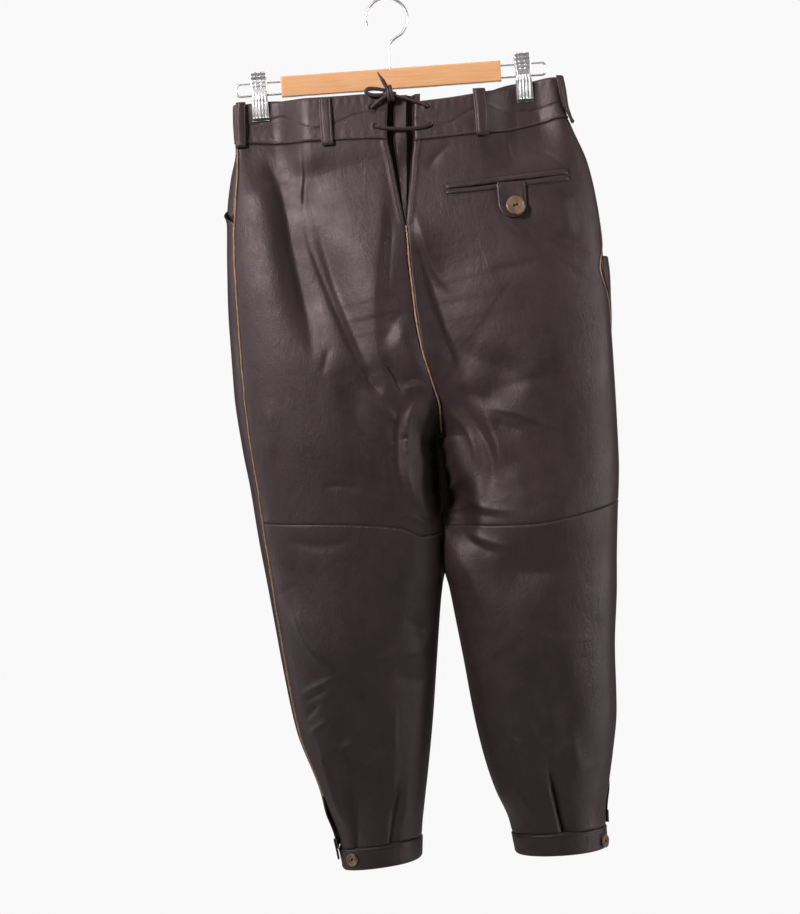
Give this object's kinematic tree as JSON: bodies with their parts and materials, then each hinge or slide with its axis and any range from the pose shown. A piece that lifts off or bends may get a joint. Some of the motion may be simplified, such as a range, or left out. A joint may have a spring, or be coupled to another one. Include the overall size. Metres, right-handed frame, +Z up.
{
  "type": "leather knee breeches on a clip hanger",
  "caption": "Dark leather lederhosen, knee length with buttoned knee bands and a laced back, hung by the waistband from a wooden clip hanger.",
  "frame": {"origin": "the point inside the top of the hanger's hook that bears on a rail", "axes": "+Z up, +X to the wearer's right, -Y out of the garment's back, +Y out of its front"},
  "size_m": [0.4399, 0.1249, 0.9946],
  "materials": {
    "leather": "smooth dark brown garment leather with a soft sheen",
    "lace": "narrow dark leather thong",
    "lining": "black facing cloth",
    "piping": "raw tan suede edge",
    "horn": "polished brown horn",
    "wood": "clear-lacquered light wood",
    "chrome": "bright nickel-plated steel"
  },
  "bodies": {
    "root": {"back_upper_left": "leather", "back_lower_left": "leather", "front_left": "leather", "hip_left": "leather", "back_upper_right": "leather", "back_lower_right": "leather", "front_right": "leather", "hip_right": "leather", "piping_side_left": "piping", "piping_side_right": "piping", "piping_centre": "piping", "waistband_left": "leather", "waistband_right": "leather", "gusset": "leather", "belt_loop_side_left": "leather", "belt_loop_back_left": "leather", "belt_loop_front_left": "leather", "belt_loop_side_right": "leather", "belt_loop_back_right": "leather", "belt_loop_front_right": "leather", "fly": "leather", "pocket_welt_upper": "leather", "pocket_welt_lower": "leather", "pocket_tab": "leather", "pocket_button": "horn", "waist_button": "horn", "cuff_left": "leather", "cuff_button_left": "horn", "cuff_right": "leather", "cuff_button_right": "horn", "cuff_tongue_left": "leather", "vent_facing_left": "lining", "cuff_tongue_right": "leather", "vent_facing_right": "lining", "knife_pocket": "leather", "lace": "lace", "hanger_bar": "wood", "hanger_wire_left": "chrome", "hanger_wire_right": "chrome", "hook": "chrome", "clip_body_left": "chrome", "clip_jaw_back_left": "chrome", "clip_jaw_front_left": "chrome", "clip_body_right": "chrome", "clip_jaw_back_right": "chrome", "clip_jaw_front_right": "chrome"}
  },
  "joints": []
}
